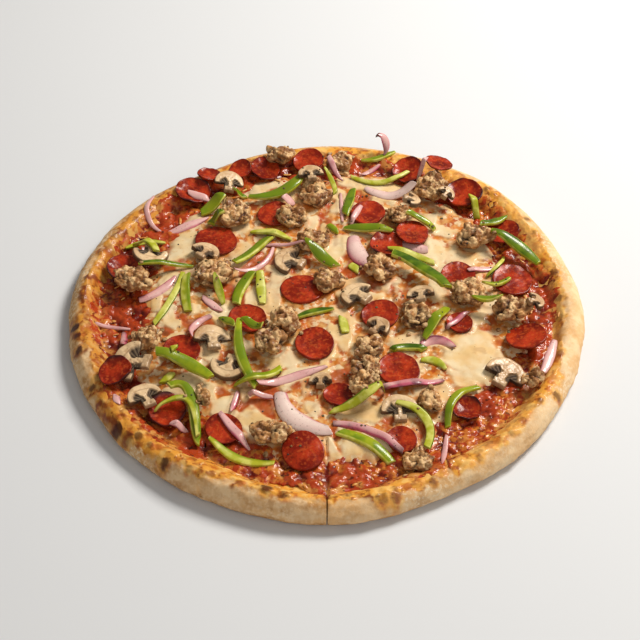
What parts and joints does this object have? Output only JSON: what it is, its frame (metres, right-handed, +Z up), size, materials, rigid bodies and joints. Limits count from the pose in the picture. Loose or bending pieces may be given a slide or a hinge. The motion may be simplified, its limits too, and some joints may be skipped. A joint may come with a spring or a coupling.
{
  "type": "supreme pizza",
  "caption": "Whole round pizza with a raised uneven crust, knife cuts at its front edge, sauce, melted cheese, pepperoni, sausage, mushroom, green pepper and red onion.",
  "frame": {"origin": "centre of the round crust, on the flat face that the pizza rests on", "axes": "+Z up through the pizza; the picture looks along +Y, with +X to its right, so the cut front edge is at -Y"},
  "size_m": [0.358, 0.358, 0.0308],
  "materials": {
    "crust": "matt baked dough, floury, with browned spots",
    "sauce": "wet glossy tomato sauce",
    "cheese": "melted cheese with an oily sheen",
    "pepperoni": "oily cured sausage slice",
    "sausage": "crumbled browned meat",
    "mushroom": "moist baked mushroom",
    "pepper": "waxy green skin and moist flesh",
    "onion": "moist translucent onion"
  },
  "bodies": {
    "root": {"crust": "crust", "sauce": "sauce", "cheese": "cheese", "pepperoni_01": "pepperoni", "pepperoni_02": "pepperoni", "pepperoni_03": "pepperoni", "pepperoni_04": "pepperoni", "pepperoni_05": "pepperoni", "pepperoni_06": "pepperoni", "pepperoni_07": "pepperoni", "pepperoni_08": "pepperoni", "pepperoni_09": "pepperoni", "pepperoni_10": "pepperoni", "pepperoni_11": "pepperoni", "pepperoni_12": "pepperoni", "pepperoni_13": "pepperoni", "pepperoni_14": "pepperoni", "pepperoni_15": "pepperoni", "pepperoni_16": "pepperoni", "pepperoni_17": "pepperoni", "pepperoni_18": "pepperoni", "pepperoni_19": "pepperoni", "pepperoni_20": "pepperoni", "pepperoni_21": "pepperoni", "pepperoni_22": "pepperoni", "pepperoni_23": "pepperoni", "pepperoni_24": "pepperoni", "sausage_01": "sausage", "sausage_02": "sausage", "sausage_03": "sausage", "sausage_04": "sausage", "sausage_05": "sausage", "sausage_06": "sausage", "sausage_07": "sausage", "sausage_08": "sausage", "sausage_09": "sausage", "sausage_10": "sausage", "sausage_11": "sausage", "sausage_12": "sausage", "sausage_13": "sausage", "mushroom_01": "mushroom", "mushroom_02": "mushroom", "mushroom_03": "mushroom", "mushroom_04": "mushroom", "mushroom_05": "mushroom", "mushroom_06": "mushroom", "mushroom_07": "mushroom", "mushroom_08": "mushroom", "mushroom_09": "mushroom", "pepper_01": "pepper", "pepper_02": "pepper", "pepper_03": "pepper", "pepper_04": "pepper", "pepper_05": "pepper", "pepper_06": "pepper", "onion_01": "onion", "onion_02": "onion", "onion_03": "onion", "onion_04": "onion", "onion_curl": "onion"}
  },
  "joints": []
}
